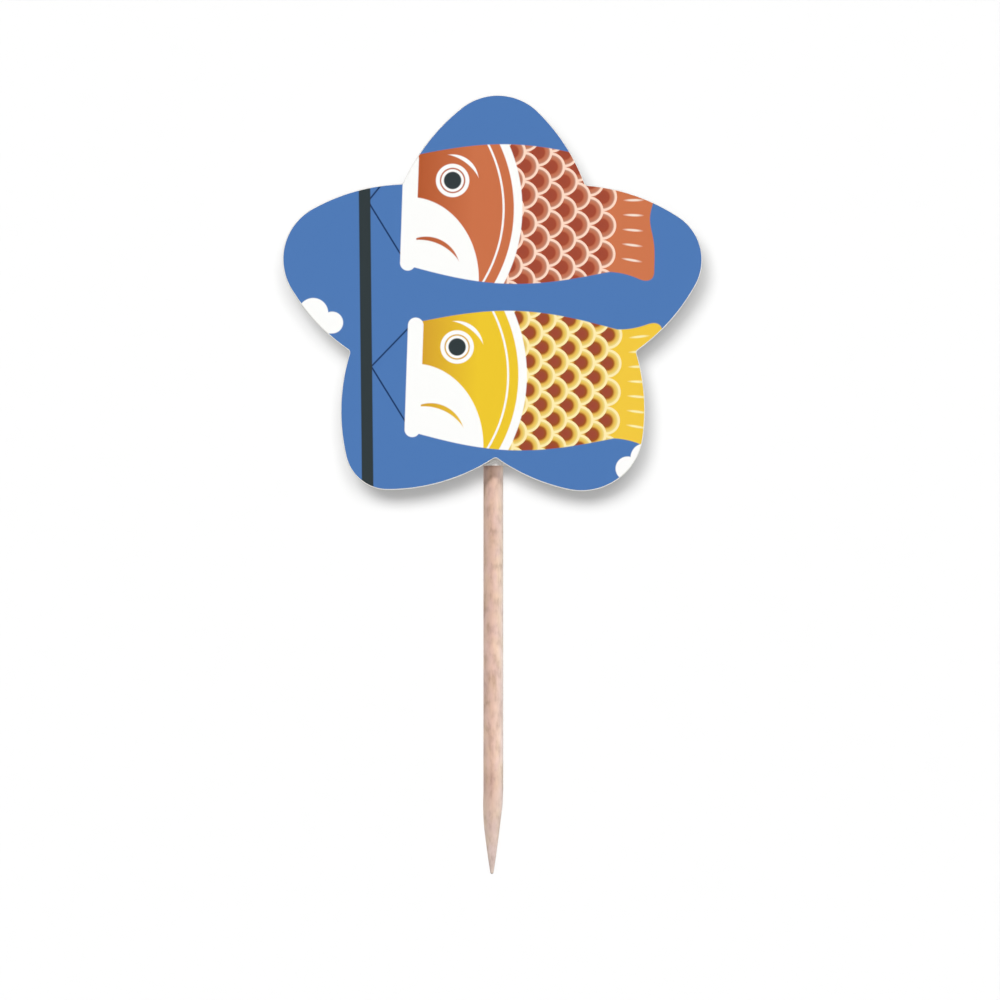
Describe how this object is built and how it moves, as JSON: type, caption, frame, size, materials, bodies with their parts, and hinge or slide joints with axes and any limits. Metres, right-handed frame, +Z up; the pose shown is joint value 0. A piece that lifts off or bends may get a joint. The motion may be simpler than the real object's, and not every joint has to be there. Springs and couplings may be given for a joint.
{
  "type": "cupcake pick",
  "caption": "Printed star card with rounded lobes, stuck by a foam pad to a pointed round wooden toothpick, to be pushed into a cupcake.",
  "frame": {"origin": "lower point of the toothpick, on the toothpick's axis", "axes": "+Z up the toothpick, -Y out of the printed face, +X to the right of someone who looks at the print"},
  "size_m": [0.042, 0.0032, 0.078],
  "materials": {
    "printed_card": "semi-gloss print on white board",
    "white_foam": "closed-cell foam with an adhesive on both faces",
    "birch_wood": "turned, unfinished"
  },
  "bodies": {
    "root": {"star_card": "printed_card", "foam_pad": "white_foam", "toothpick": "birch_wood"}
  },
  "joints": []
}
